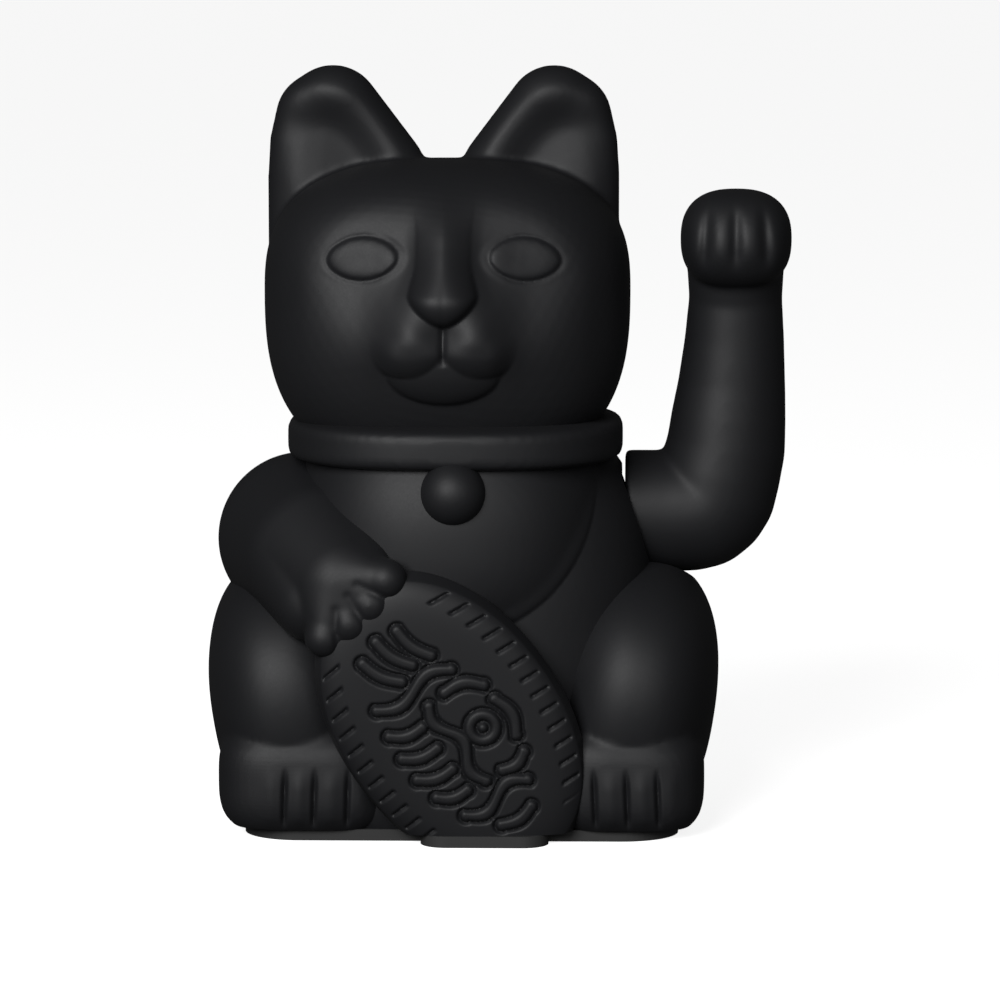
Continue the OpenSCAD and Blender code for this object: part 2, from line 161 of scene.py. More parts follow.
@dataclass(frozen=True)
class Hull:
    """The skin drawn tight over a few balls.

    Attributes:
        balls: Each ball's middle and radius.
        depth: The balls' size along Y, as a share of their radius.
    """

    balls: tuple[tuple[Point, float], ...]
    depth: float = 1.0

    def inset(self, wall: float) -> "Hull":
        """Return the same hull, smaller by a wall all round."""
        return Hull(tuple((p, r - wall) for p, r in self.balls), self.depth)

    def add(self, bm: bmesh.types.BMesh) -> None:
        """Add the hull.

        Args:
            bm: The bmesh that takes it.
        """
        skin = bmesh.new()
        for middle, radius in self.balls:
            place = Matrix.Translation(middle) @ Matrix.Diagonal((1.0, self.depth, 1.0, 1.0))
            bmesh.ops.create_uvsphere(skin, u_segments=72, v_segments=48, radius=radius, matrix=place)
        made = bmesh.ops.convex_hull(skin, input=skin.verts, use_existing_faces=False)
        inner = {e for e in made["geom_interior"] + made["geom_unused"] if isinstance(e, bmesh.types.BMVert)}
        bmesh.ops.delete(skin, geom=list(inner), context="VERTS")
        loose = [v for v in skin.verts if not v.link_faces]
        bmesh.ops.delete(skin, geom=loose, context="VERTS")
        bmesh.ops.recalc_face_normals(skin, faces=skin.faces)
        pour(skin, bm)


@dataclass(frozen=True)
class Block:
    """A plain box. Used to cut.

    Attributes:
        low: Its corner with the smallest X, Y and Z.
        high: Its opposite corner.
    """

    low: Point
    high: Point

    def add(self, bm: bmesh.types.BMesh) -> None:
        """Add the box.

        Args:
            bm: The bmesh that takes it.
        """
        size = [h - l for l, h in zip(self.low, self.high)]
        middle = [(h + l) / 2 for l, h in zip(self.low, self.high)]
        place = Matrix.Translation(middle) @ Matrix.Diagonal((*size, 1.0))
        bmesh.ops.create_cube(bm, size=1.0, matrix=place)


@dataclass(frozen=True)
class Drum:
    """A cylinder along X. Used to cut, and for the arm's round end.

    Attributes:
        start: The middle of its left end.
        radius: Its radius.
        length: Its length along X.
    """

    start: Point
    radius: float
    length: float

    def add(self, bm: bmesh.types.BMesh) -> None:
        """Add the cylinder.

        Args:
            bm: The bmesh that takes it.
        """
        middle = (self.start[0] + self.length / 2, self.start[1], self.start[2])
        place = Matrix.Translation(middle) @ Matrix.Rotation(math.radians(90), 4, "Y")
        r = self.radius
        bmesh.ops.create_cone(
            bm, cap_ends=True, segments=96, radius1=r, radius2=r, depth=self.length, matrix=place
        )


@dataclass(frozen=True)
class Carved:
    """A solid that is already a mesh.

    Attributes:
        mesh: The closed mesh, in millimetres.
    """

    mesh: Mesh

    def add(self, bm: bmesh.types.BMesh) -> None:
        """Add the mesh."""
        bm.from_mesh(self.mesh)


def pour(source: bmesh.types.BMesh, target: bmesh.types.BMesh) -> None:
    """Move everything from one bmesh into another.

    Args:
        source: The bmesh that is emptied and freed.
        target: The bmesh that takes it.
    """
    carrier = bpy.data.meshes.new("carrier")
    source.to_mesh(carrier)
    source.free()
    target.from_mesh(carrier)
    bpy.data.meshes.remove(carrier)


def evaluated(piece: Piece) -> Mesh:
    """Apply a piece's modifiers and drop the piece.

    Args:
        piece: The piece, which is removed.

    Returns:
        A new mesh.
    """
    bpy.context.view_layer.update()
    graph = bpy.context.evaluated_depsgraph_get()
    mesh = bpy.data.meshes.new_from_object(piece.evaluated_get(graph))
    bpy.data.objects.remove(piece)
    return mesh


def as_piece(name: str, data: bpy.types.ID) -> Piece:
    """Put a mesh, a camera or a lamp into the scene.

    Args:
        name: The new object's name.
        data: The mesh, or the camera's or lamp's data.

    Returns:
        The new object.
    """
    piece = bpy.data.objects.new(name, data)
    bpy.context.scene.collection.objects.link(piece)
    return piece


def gathered(solids: Sequence[Solid]) -> Mesh:
    """Put the surfaces of several solids into one mesh.

    Args:
        solids: The solids.

    Returns:
        The mesh, in millimetres.
    """
    bm = bmesh.new()
    for solid in solids:
        solid.add(bm)
    mesh = bpy.data.meshes.new("gathered")
    bm.to_mesh(mesh)
    bm.free()
    return mesh


def fused(solids: Sequence[Solid], grain: float, rounds: int = 6) -> Mesh:
    """Fuse solids into one closed skin and soften the creases between them.

    Args:
        solids: What is fused.
        grain: The size of the skin's faces, in millimetres.
        rounds: How often the skin is smoothed; more gives wider fillets.

    Returns:
        The skin, in millimetres.
    """
    piece = as_piece("fusing", gathered(solids))
    voxels = piece.modifiers.new("fuse", "REMESH")
    voxels.mode = "VOXEL"
    voxels.voxel_size = grain * 1.0
    voxels.use_smooth_shade = True
    if rounds:
        soft = piece.modifiers.new("soften", "SMOOTH")
        soft.factor = 0.5
        soft.iterations = rounds
    return evaluated(piece)


class Cut(Enum):
    """What a tool does to a piece."""

    REMOVE = "DIFFERENCE"
    KEEP = "INTERSECT"
    JOIN = "UNION"


def cut(mesh: Mesh, tool: Mesh, how: Cut) -> Mesh:
    """Cut one closed mesh with another, or join them along a crisp crease.

    Args:
        mesh: The mesh that is cut.
        tool: The closed mesh that cuts it; it can be used again.
        how: Whether the tool's inside goes, stays alone or is added.

    Returns:
        The mesh that is left.
    """
    piece = as_piece("cutting", mesh)
    blade = as_piece("blade", tool)
    step = piece.modifiers.new("cut", "BOOLEAN")
    step.solver = "MANIFOLD"
    step.operation = how.value
    step.object = blade
    left = evaluated(piece)
    bpy.data.objects.remove(blade)
    return left


def finer(mesh: Mesh, window: Block) -> None:
    """Halve the faces of a mesh inside a window, so that fine shapes can be carved there.

    Args:
        mesh: The mesh, which is changed.
        window: Where the faces are halved.
    """
    bm = bmesh.new()
    bm.from_mesh(mesh)
    inside = {v for v in bm.verts if all(l < c < h for l, c, h in zip(window.low, v.co, window.high))}
    edges = [e for e in bm.edges if e.verts[0] in inside and e.verts[1] in inside]
    bmesh.ops.subdivide_edges(bm, edges=edges, cuts=1, use_grid_fill=True)
    bm.to_mesh(mesh)
    bm.free()


def swept(mesh: Mesh) -> Mesh:
    """Drop the crumbs that a cut can leave beside a mesh's main shells.

    Args:
        mesh: The mesh, which is changed.

    Returns:
        The same mesh.
    """
    bm = bmesh.new()
    bm.from_mesh(mesh)
    seen: set[bmesh.types.BMVert] = set()
    crumbs: list[bmesh.types.BMVert] = []
    for vert in bm.verts:
        if vert in seen:
            continue
        seen.add(vert)
        shell = [vert]
        for member in shell:
            near = {edge.other_vert(member) for edge in member.link_edges} - seen
            seen |= near
            shell += near
        if len(shell) < CRUMB_POINTS:
            crumbs += shell
    bmesh.ops.delete(bm, geom=crumbs, context="VERTS")
    bm.to_mesh(mesh)
    bm.free()
    return mesh


class Skin:
    """A mesh's points as arrays, for carving. Lengths are in millimetres."""

    def __init__(self, mesh: Mesh) -> None:
        """Read a mesh's points and normals.

        Args:
            mesh: The mesh to carve.
        """
        self.mesh = mesh
        count = len(mesh.vertices)
        self.at = np.empty(count * 3)
        mesh.vertices.foreach_get("co", self.at)
        self.at = self.at.reshape(count, 3)
        self.normal = np.empty(count * 3)
        mesh.vertex_normals.foreach_get("vector", self.normal)
        self.normal = self.normal.reshape(count, 3)

    @property
    def x(self) -> np.ndarray:
        """Return the points' X."""
        return self.at[:, 0]

    @property
    def y(self) -> np.ndarray:
        """Return the points' Y."""
        return self.at[:, 1]

    @property
    def z(self) -> np.ndarray:
        """Return the points' Z."""
        return self.at[:, 2]

    def forward(self, height: np.ndarray) -> None:
        """Move the points towards the front by the given heights."""
        self.at[:, 1] -= height

    def outward(self, height: np.ndarray) -> None:
        """Move the points along their normals by the given heights."""
        self.at += self.normal * height[:, None]

    def facing_front(self, least: float = 0.05) -> np.ndarray:
        """Return 1 for points whose skin faces the front, and 0 at the back."""
        return smooth(least, least + 0.3, -self.normal[:, 1])

    def relax(self, rounds: int) -> None:
        """Soften the skin by moving each point half way to its neighbours' middle.

        Args:
            rounds: How often this is done.
        """
        ends = np.empty(len(self.mesh.edges) * 2, dtype=np.int64)
        self.mesh.edges.foreach_get("vertices", ends)
        a, b = ends[0::2], ends[1::2]
        count = np.bincount(ends, minlength=len(self.at))[:, None]
        for _ in range(rounds):
            near = np.stack([
                np.bincount(a, self.at[b, k], len(self.at)) + np.bincount(b, self.at[a, k], len(self.at))
                for k in range(3)
            ], axis=1)
            self.at = 0.5 * self.at + 0.5 * near / count

    def done(self) -> Mesh:
        """Write the points back.

        Returns:
            The carved mesh.
        """
        self.mesh.vertices.foreach_set("co", self.at.ravel())
        self.mesh.update()
        return self.mesh


def in_metres(mesh: Mesh, name: str) -> Piece:
    """Turn a finished millimetre mesh into a piece at full size.

    Args:
        mesh: The mesh, in millimetres.
        name: The piece's name.

    Returns:
        The piece, with crisp edges kept crisp and the rest shaded smooth.
    """
    mesh.transform(Matrix.Scale(MM, 4))
    mesh.name = name
    mesh.shade_smooth()
    mesh.set_sharp_from_angle(angle=math.radians(CREASE_ANGLE))
    return as_piece(name, mesh)


# ---------------------------------------------------------------- shader kit


class Link:
    """A shader output that takes part in Python expressions."""

    def __init__(self, graph: "Graph", socket: bpy.types.NodeSocket) -> None:
        """Wrap an output socket."""
        self.graph = graph
        self.socket = socket

    def _math(self, operation: str, first: Any, second: Any) -> "Link":
        """Return a Math node's result."""
        return self.graph.node("ShaderNodeMath", {"operation": operation}, {0: first, 1: second})

    def __add__(self, other: Any) -> "Link":
        """Return self + other."""
        return self._math("ADD", self, other)

    __radd__ = __add__

    def __mul__(self, other: Any) -> "Link":
        """Return self * other."""
        return self._math("MULTIPLY", self, other)

    __rmul__ = __mul__

    def __sub__(self, other: Any) -> "Link":
        """Return self - other."""
        return self._math("SUBTRACT", self, other)

    def __rsub__(self, other: Any) -> "Link":
        """Return other - self."""
        return self._math("SUBTRACT", other, self)

    def above(self, edge: float) -> "Link":
        """Return 1 where the value is over an edge, otherwise 0."""
        return self._math("GREATER_THAN", self, edge)


class Graph:
    """One material's node tree with its main shader."""

    def __init__(self, name: str) -> None:
        """Start a material.

        Args:
            name: The material's name.
        """
        self.material = bpy.data.materials.new(name)
        self.material.use_nodes = True
        self.tree = self.material.node_tree
        self.shader = self.tree.nodes["Principled BSDF"]
        self.place = self.node("ShaderNodeTexCoord", output="Object")

    def node(
        self,
        kind: str,
        settings: dict[str, Any] | None = None,
        inputs: dict[Any, Any] | None = None,
        output: Any = 0,
    ) -> Link:
        """Add any node.

        Args:
            kind: The node's type.
            settings: The node's own settings, set first; "stops" sets a ramp's stops.
            inputs: The values or links of its sockets.
            output: The output that is returned, by name or number.

        Returns:
            The wrapped output.
        """
        made = self.tree.nodes.new(kind)
        for key, value in (settings or {}).items():
            if key == "stops":
                self._stops(made.color_ramp, value)
            else:
                setattr(made, key, value)
        for key, value in (inputs or {}).items():
            self.feed(made.inputs[key], value)
        return Link(self, made.outputs[output])

    def _stops(self, ramp: bpy.types.ColorRamp, stops: Sequence[tuple[float, Point]]) -> None:
        """Set a ramp's stops.

        Args:
            ramp: The ramp.
            stops: Each stop's position and colour.
        """
        while len(ramp.elements) < len(stops):
            ramp.elements.new(1.0)
        for element, (position, colour) in zip(ramp.elements, stops):
            element.position = position
            element.color = (*colour, 1.0)

    def feed(self, socket: bpy.types.NodeSocket, value: Any) -> None:
        """Link or set one input.

        Args:
            socket: The input.
            value: A link, a number, or a colour of three numbers.
        """
        if isinstance(value, Link):
            self.tree.links.new(value.socket, socket)
        elif isinstance(value, tuple) and len(value) == 3 and socket.type == "RGBA":
            socket.default_value = (*value, 1.0)
        else:
            socket.default_value = value

    def set(self, **values: Any) -> None:
        """Set or link the main shader's inputs, whose names have underscores for spaces."""
        for key, value in values.items():
            self.feed(self.shader.inputs[key.replace("_", " ")], value)

    def noise(self, scale: float, detail: float = 2.0, stretch: Point = (1.0, 1.0, 1.0)) -> Link:
        """Return a noise over the piece.

        Args:
            scale: How many waves a metre.
            detail: How many finer layers it has.
            stretch: How the pattern is drawn out along each axis.

        Returns:
            The noise, about 0.5 on average.
        """
        spot = self.node("ShaderNodeMapping", inputs={"Vector": self.place, "Scale": stretch})
        return self.node("ShaderNodeTexNoise", inputs={"Vector": spot, "Scale": scale, "Detail": detail})

    def bands(self, scale: float, axis: str) -> Link:
        """Return regular bands across an axis, from 0 to 1."""
        settings = {"wave_type": "BANDS", "wave_profile": "SIN", "bands_direction": axis}
        return self.node("ShaderNodeTexWave", settings, {"Vector": self.place, "Scale": scale}, "Color")

    def mix(self, share: Any, first: Any, second: Any) -> Link:
        """Return a mix of two colours."""
        settings = {"data_type": "RGBA"}
        return self.node("ShaderNodeMix", settings, {0: share, 6: first, 7: second}, 2)

    def bump(self, height: Link, strength: float, depth: float) -> None:
        """Raise the surface's shading by a height.

        Args:
            height: What is raised, from 0 to 1.
            strength: How strongly it shows.
            depth: How high 1 stands, in metres.
        """
        inputs = {"Height": height, "Strength": strength, "Distance": depth}
        self.set(Normal=self.node("ShaderNodeBump", inputs=inputs))


@dataclass(frozen=True)
class SoftTouch:
    """Matt moulded plastic with a soft-touch coat.

    Attributes:
        name: The material's name.
        colour: The coat's colour.
        rough: Its roughness.
        grain: The fine texture's waves a metre.
        relief: The fine texture's height, in metres.
        gloss: How strongly it reflects; 0.5 is bare plastic.
    """

    name: str
    colour: Point
    rough: float = 0.56
    grain: float = 2600.0
    relief: float = 0.00002
    gloss: float = 0.42

    def make(self) -> bpy.types.Material:
        """Make the material.

        Returns:
            The new material.
        """
        graph = Graph(self.name)
        fine = graph.noise(self.grain, 3.0)
        broad = graph.noise(60.0, 2.0)
        darker = tuple(c * 0.88 for c in self.colour)
        graph.set(Base_Color=graph.mix(broad, darker, self.colour))
        rough = self.rough + (fine - 0.5) * 0.1 + (broad - 0.5) * 0.06
        graph.set(Roughness=rough, Specular_IOR_Level=self.gloss)
        graph.bump(fine, 0.35, self.relief)
        return graph.material


@dataclass(frozen=True)
class Moulded:
    """Bare moulded plastic, with flow marks and a fine spark texture.

    Attributes:
        name: The material's name.
        colour: The plastic's colour.
        rough: Its roughness.
        see_through: How far light spreads inside it, from 0 to 1.
    """

    name: str
    colour: Point
    rough: float = 0.4
    see_through: float = 0.0

    def make(self) -> bpy.types.Material:
        """Make the material.

        Returns:
            The new material.
        """
        graph = Graph(self.name)
        flow = graph.noise(90.0, 2.0, (1.0, 0.3, 1.0))
        fine = graph.noise(1500.0)
        graph.set(Base_Color=graph.mix(flow, tuple(c * 0.9 for c in self.colour), self.colour))
        graph.set(Roughness=self.rough + (fine - 0.5) * 0.16, Subsurface_Weight=self.see_through)
        graph.bump(fine, 0.4, 0.00003)
        return graph.material


@dataclass(frozen=True)
class Metal:
    """Plated, drawn or turned metal.

    Attributes:
        name: The material's name.
        colour: The metal's colour.
        rough: Its roughness.
        lines: How far its tool marks are drawn out along each axis.
        worn: How much duller patches show, from 0 to 1.
    """

    name: str
    colour: Point
    rough: float = 0.3
    lines: Point = (0.05, 1.0, 1.0)
    worn: float = 0.4

    def make(self) -> bpy.types.Material:
        """Make the material.

        Returns:
            The new material.
        """
        graph = Graph(self.name)
        marks = graph.noise(3500.0, 2.0, self.lines)
        patch = graph.noise(220.0, 4.0)
        dull = tuple(c * (1 - 0.35 * self.worn) for c in self.colour)
        graph.set(Base_Color=graph.mix(patch, dull, self.colour), Metallic=1.0)
        graph.set(Roughness=self.rough + (marks - 0.5) * 0.25 + (patch - 0.5) * 0.2 * self.worn)
        graph.bump(marks, 0.25, 0.00002)
        return graph.material


@dataclass(frozen=True)
class Winding:
    """Enamelled copper wire wound turn by turn round the coil, with painted shade in the grooves between the
    turns.

    Attributes:
        name: The material's name.
        colour: The enamel's colour.
        turns: The turns' waves a metre.
    """

    name: str
    colour: Point = (0.5, 0.16, 0.05)
    turns: float = 700.0

    def make(self) -> bpy.types.Material:
        """Make the material.

        Returns:
            The new material.
        """
        graph = Graph(self.name)
        turn = graph.bands(self.turns, "Z")
        patch = graph.noise(300.0)
        # Painted shade: the colour darkens where the bands sink into the grooves between the turns.
        graph.set(Base_Color=graph.mix(turn, tuple(c * 0.35 for c in self.colour), self.colour))
        graph.set(Metallic=0.85, Roughness=0.22 + patch * 0.2, Coat_Weight=0.6)
        graph.bump(turn, 0.8, 0.00015)
        return graph.material


@dataclass(frozen=True)
class BoardLacquer:
    """Green solder resist over copper tracks.

    Attributes:
        name: The material's name.
        colour: The resist's colour.
    """

    name: str
    colour: Point = (0.02, 0.16, 0.05)

    def make(self) -> bpy.types.Material:
        """Make the material.

        Returns:
            The new material.
        """
        graph = Graph(self.name)
        tracks = (graph.bands(70.0, "X") * graph.bands(45.0, "Y")).above(0.35)
        weave = graph.noise(1800.0, 1.0)
        graph.set(Base_Color=graph.mix(tracks, self.colour, tuple(c * 1.9 for c in self.colour)))
        graph.set(Roughness=0.25 + weave * 0.15)
        graph.bump(tracks * 0.6 + weave * 0.2, 0.5, 0.00005)
        return graph.material


@dataclass(frozen=True)
class Banded:
    """Lacquer with coloured bands across one axis, such as a resistor's or a cell's sleeve.

    Attributes:
        name: The material's name.
        ground: The main colour.
        band: The bands' colour.
        axis: The axis that the bands cross.
        pitch: The bands' waves a metre.
        share: How wide the bands are: 1 is none, 0 is all.
        metallic: How metallic the lacquer is, from 0 to 1.
    """

    name: str
    ground: Point
    band: Point
    axis: str = "X"
    pitch: float = 120.0
    share: float = 0.8
    metallic: float = 0.0

    def make(self) -> bpy.types.Material:
        """Make the material.

        Returns:
            The new material.
        """
        graph = Graph(self.name)
        bands = graph.bands(self.pitch, self.axis).above(self.share)
        patch = graph.noise(400.0)
        graph.set(Base_Color=graph.mix(bands, self.ground, self.band), Metallic=self.metallic)
        graph.set(Roughness=0.24 + patch * 0.18, Coat_Weight=0.3)
        graph.bump(patch, 0.15, 0.00004)
        return graph.material


class Look(Enum):
    """Every finish on the object."""

    SKIN = SoftTouch("soft_touch_black", (0.0118, 0.0121, 0.0139))
    # The record's own plain material has this name too, and it is the one that is used.
    BASE = SoftTouch("base_black", (0.0012, 0.0012, 0.0014), 0.75, 1400.0, 0.00002, 0.05)
    NATURAL = Moulded("natural_nylon", (0.72, 0.69, 0.6), 0.36, 0.05)
    DARK = Moulded("dark_case", (0.03, 0.03, 0.033), 0.3)
    STEEL = Metal("zinc_plated_steel", (0.6, 0.61, 0.63), 0.3)
    SPRING = Metal("phosphated_steel", (0.16, 0.16, 0.17), 0.42, (1.0, 1.0, 1.0), 0.7)
    NICKEL = Metal("nickel_plate", (0.72, 0.7, 0.64), 0.2, (1.0, 1.0, 0.08), 0.3)
    BRONZE = Metal("sintered_bronze", (0.5, 0.3, 0.13), 0.4, (1.0, 1.0, 1.0), 0.8)
    IRON = Metal("turned_iron", (0.3, 0.3, 0.31), 0.38, (0.06, 1.0, 1.0), 0.6)
    COPPER = Winding("enamelled_copper")
    BOARD = BoardLacquer("board_resist")
    CAPACITOR = Banded("capacitor_sleeve", (0.02, 0.05, 0.24), (0.45, 0.5, 0.6), "X", 60.0, 0.93)
    RESISTOR = Banded("resistor_lacquer", (0.52, 0.38, 0.2), (0.3, 0.05, 0.02), "X", 420.0, 0.78)
    CELL = Banded("cell_sleeve", (0.05, 0.16, 0.15), (0.6, 0.42, 0.16), "X", 9.0, 0.72, 0.5)
    RED = Moulded("red_insulation", (0.42, 0.015, 0.012), 0.34)
    BLACK = Moulded("black_insulation", (0.012, 0.012, 0.013), 0.34)
    AMBER = Moulded("amber_insulation", (0.4, 0.09, 0.02), 0.34)

    def material(self) -> bpy.types.Material:
        """Return the scene's material of the finish's name, and make it if there is none."""
        return bpy.data.materials.get(self.value.name) or self.value.make()


def dress(piece: Piece, look: Look) -> None:
    """Give a piece one finish all over."""
    piece.data.materials.clear()
    piece.data.materials.append(look.material())


def dress_node(name: str, look: Look) -> None:
    """Give a design node a better finish, leaving its mesh alone.

    Args:
        name: The node's name.
        look: The finish.
    """
    for slot in frame["nodes"][name].material_slots:
        slot.link = "OBJECT"
        slot.material = look.material()


def fit(piece: Piece, body: str, slot: str, look: Look, *nodes: str) -> None:
    """Finish a piece, put it on its body and let it stand for its nodes.

    Args:
        piece: The piece.
        body: The body that it rides on.
        slot: The record's material slot; it is not used.
        look: Its finish.
        nodes: The design nodes that it stands for.
    """
    dress(piece, look)
    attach(piece, body)
    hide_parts(*nodes)
    LOG.info("%s: %d faces on %s", piece.name, len(piece.data.polygons), body)


# ---------------------------------------------------------------- the moulded body


SEAM_Y = 4.0  # where the moulded halves meet
SEAM_DEEP = 0.2  # the groove along their joint
SEAM_WIDE = 0.35
AXLE = (4.0, 59.8)  # the waving arm's axle, back and up
WALL = 2.0  # the body's wall
FLOOR_Z = 2.2  # the body's lower edge
FAR = 300.0  # past everything, for tools that cut


@dataclass(frozen=True)
class Head:
    """The head with its ears and face.

    Attributes:
        centre: The head's middle.
        eye_at: An eye's place from the head's middle, across and up.
        eye_half: An eye's half sizes.
        ear_balls: The balls an ear is drawn over: across, up and radius.
        ear_rim: The width of an ear's rounded rim.
        grain: The size of the skin's faces.
    """

    centre: Point = (-3.1, -1.5, 104.0)
    eye_at: tuple[float, float] = (15.4, 7.9)
    eye_half: tuple[float, float] = (6.7, 4.05)
    ear_balls: tuple[Point, ...] = (
        (21.6, 138.0, 9.4),
        (23.9, 137.0, 9.0),
        (25.3, 132.0, 8.75),
        (25.9, 126.0, 8.5),
        (26.2, 112.0, 8.2),
        (12.7, 126.4, 9.3),
    )
    ear_rim: float = 3.3
    grain: float = 0.52

    def ball(self) -> Form:
        """Return the head's main form."""
        return Form(self.centre, (35.6, 31.5, 25.4), 2.7, low=35.8)

    def ear(self, side: int) -> Hull:
        """Return one ear's plate; side is -1 on the coin's side and 1 on the waving arm's."""
        x = self.centre[0] - 1.0
        return Hull(tuple(((x + side * across, 3.6, up), r) for across, up, r in self.ear_balls), 0.82)

    def carved_ear(self, side: int) -> Carved:
        """Return an ear whose front is dished beside the rim along its inner and upper edge.

        Args:
            side: -1 on the coin's side and 1 on the waving arm's.

        Returns:
            The ear as a closed solid.
        """
        skin = Skin(fused([self.ear(side)], self.grain, 3))
        across = (skin.x - self.centre[0] + 1.0) * side
        near = np.zeros(across.shape)
        for degrees in range(-15, 196, 5):
            out, rise = math.cos(math.radians(degrees)), math.sin(math.radians(degrees))
            reach = max(a * out + u * rise + r for a, u, r in self.ear_balls)
            rim = self.ear_rim - 7.5 * float(smooth(0.1, 0.95, np.array(out)))
            near += np.exp(-np.clip(reach - across * out - skin.z * rise - rim, -20.0, 40.0) / 1.3)
        depth = -1.3 * np.log(near)
        from_inner = (across - 4.4) * 0.808 - (skin.z - 130.3) * 0.589
        dish = 4.5 * smooth(-3.0, 6.5, depth) * (1.0 - 0.66 * smooth(5.0, 25.0, from_inner))
        front = skin.facing_front(0.0)
        skin.at[:, 1] += front * np.minimum(dish, np.maximum(3.5 - skin.y, 0.0))
        return Carved(skin.done())

    def carve_eyes(self, skin: Skin, across: np.ndarray, up: np.ndarray, front: np.ndarray) -> None:
        """Sink the sockets and raise the eyes in them.

        Args:
            skin: The head's skin.
            across: The points' distances across from the face's middle.
            up: The points' heights from the head's middle.
            front: 1 where the skin is the face's.
        """
        side = np.abs(across)
        brow = 16.6 - 0.012 * (side - 4.7) ** 2 - 0.16 * (side - 4.7)
        inside = -3.2 * np.logaddexp((4.2 - side) / 3.2, (up - brow) / 3.2)
        socket = smooth(-6.0, 6.0, inside) * smooth(29.0, 15.0, side) * smooth(-13.0, 8.0, up)
        skin.forward(-2.5 * socket * front)
        for mirror in (-1, 1):
            droop = math.radians(-4.0) * mirror
            dx = across - mirror * self.eye_at[0]
            dz = up - self.eye_at[1]
            a = (dx * math.cos(droop) + dz * math.sin(droop)) / self.eye_half[0]
            b = (dz * math.cos(droop) - dx * math.sin(droop)) / self.eye_half[1]
            b = b * (1.0 + 0.12 * a * a)
            q = np.hypot(a, b)
            ball = 1.15 * dome(q, 2.6)
            level = 0.55 * smooth(0.2, 1.0, -a * mirror) * smooth(1.35, 0.95, q)
            groove = -0.14 * bell_curve(q - 1.05, 0.09)
            lid = 0.06 * bell_curve(q - 1.22, 0.12) * smooth(-0.6, 0.8, -b)
            skin.forward((ball + level + groove + lid) * front)

    def carve_nose(self, skin: Skin, across: np.ndarray, up: np.ndarray, front: np.ndarray) -> None:
        """Raise the rounded bridge, which widens to a tip with a V-shaped lower edge.

        Args:
            skin: The head's skin.
            across: The points' distances across from the face's middle.
            up: The points' heights from the head's middle.
            front: 1 where the skin is the face's.
        """
        side = np.abs(across)
        wide = 5.1 + 1.5 * smooth(8.0, -0.6, up) + 0.6 * smooth(12.0, 18.0, up)
        drop = np.clip((1.2 - up) / 5.9, 0.0, 2.0)
        share = ((side / wide) ** 1.4 + drop**1.4) ** (1.0 / 1.4)
        high = 2.7 * smooth(23.0, 7.0, up) + 2.8 * smooth(11.0, -0.8, up)
        crisp = 0.25 + 0.5 * smooth(9.0, -1.0, up)
        skin.forward(high * (crisp * dome(share, 2.0) + (1.0 - crisp) * smooth(1.5, 0.0, share)) * front)

    def carve_muzzle(self, skin: Skin, across: np.ndarray, up: np.ndarray, front: np.ndarray) -> None:
        """Raise the muzzle's two lobes and the chin under the mouth's line.

        Args:
            skin: The head's skin.
            across: The points' distances across from the face's middle.
            up: The points' heights from the head's middle.
            front: 1 where the skin is the face's.
        """
        side, rise = np.abs(across), up + 7.5
        reach = np.hypot(side - 6.3, np.where(rise > 0.0, rise / 1.75, rise))
        low = smooth(2.0, -3.5, rise) * smooth(14.5, 8.5, side)
        lobes = 4.3 * (low * dome(reach / 7.9, 2.1) + (1.0 - low) * bell_curve(reach, 6.1))
        chin = 2.5 * dome(np.hypot(across / 10.9, (up + 13.4) / 6.4), 2.4)
        skin.forward(np.maximum(lobes, chin * smooth(-8.0, -11.0, up)) * front)
        groove = bell_curve(across, 0.5) * smooth(-12.4, -11.2, up) * smooth(-3.4, -5.2, up)
        skin.forward(-0.5 * groove * front)

    def carve_cheeks(self, skin: Skin, across: np.ndarray, up: np.ndarray, front: np.ndarray) -> None:
        """Fill out the cheeks and the muzzle's ground.

        Args:
            skin: The head's skin.
            across: The points' distances across from the face's middle.
            up: The points' heights from the head's middle.
            front: 1 where the skin is the face's.
        """
        side = np.abs(across)
        skin.forward(0.8 * bell_curve(np.hypot(side - 19.0, up + 4.5), 10.0) * front)
        skin.forward(1.3 * bell_curve(np.hypot(side / 1.3, up + 8.5), 10.0) * front)

    def skin(self) -> Mesh:
        """Fuse and carve the head.

        Returns:
            Its finished outer skin.
        """
        solids = [self.ball(), self.carved_ear(-1), self.carved_ear(1)]
        mesh = fused(solids, self.grain, 4)
        finer(mesh, Block((-29.0, -60.0, 80.0), (23.0, -14.0, 126.0)))
        skin = Skin(mesh)
        across = skin.x - self.centre[0] - 0.1
        up = skin.z - self.centre[2]
        front = skin.facing_front(0.0) * smooth(-8.0, -13.0, skin.y) * smooth(31.0, 26.0, np.abs(across))
        self.carve_eyes(skin, across, up, front)
        self.carve_cheeks(skin, across, up, front)
        self.carve_nose(skin, across, up, front)
        self.carve_muzzle(skin, across, up, front)
        skin.relax(3)
        return skin.done()

    def hollow(self) -> list[Solid]:
        """Return what the wall leaves free inside the head."""
        return [self.ball().inset(WALL)]


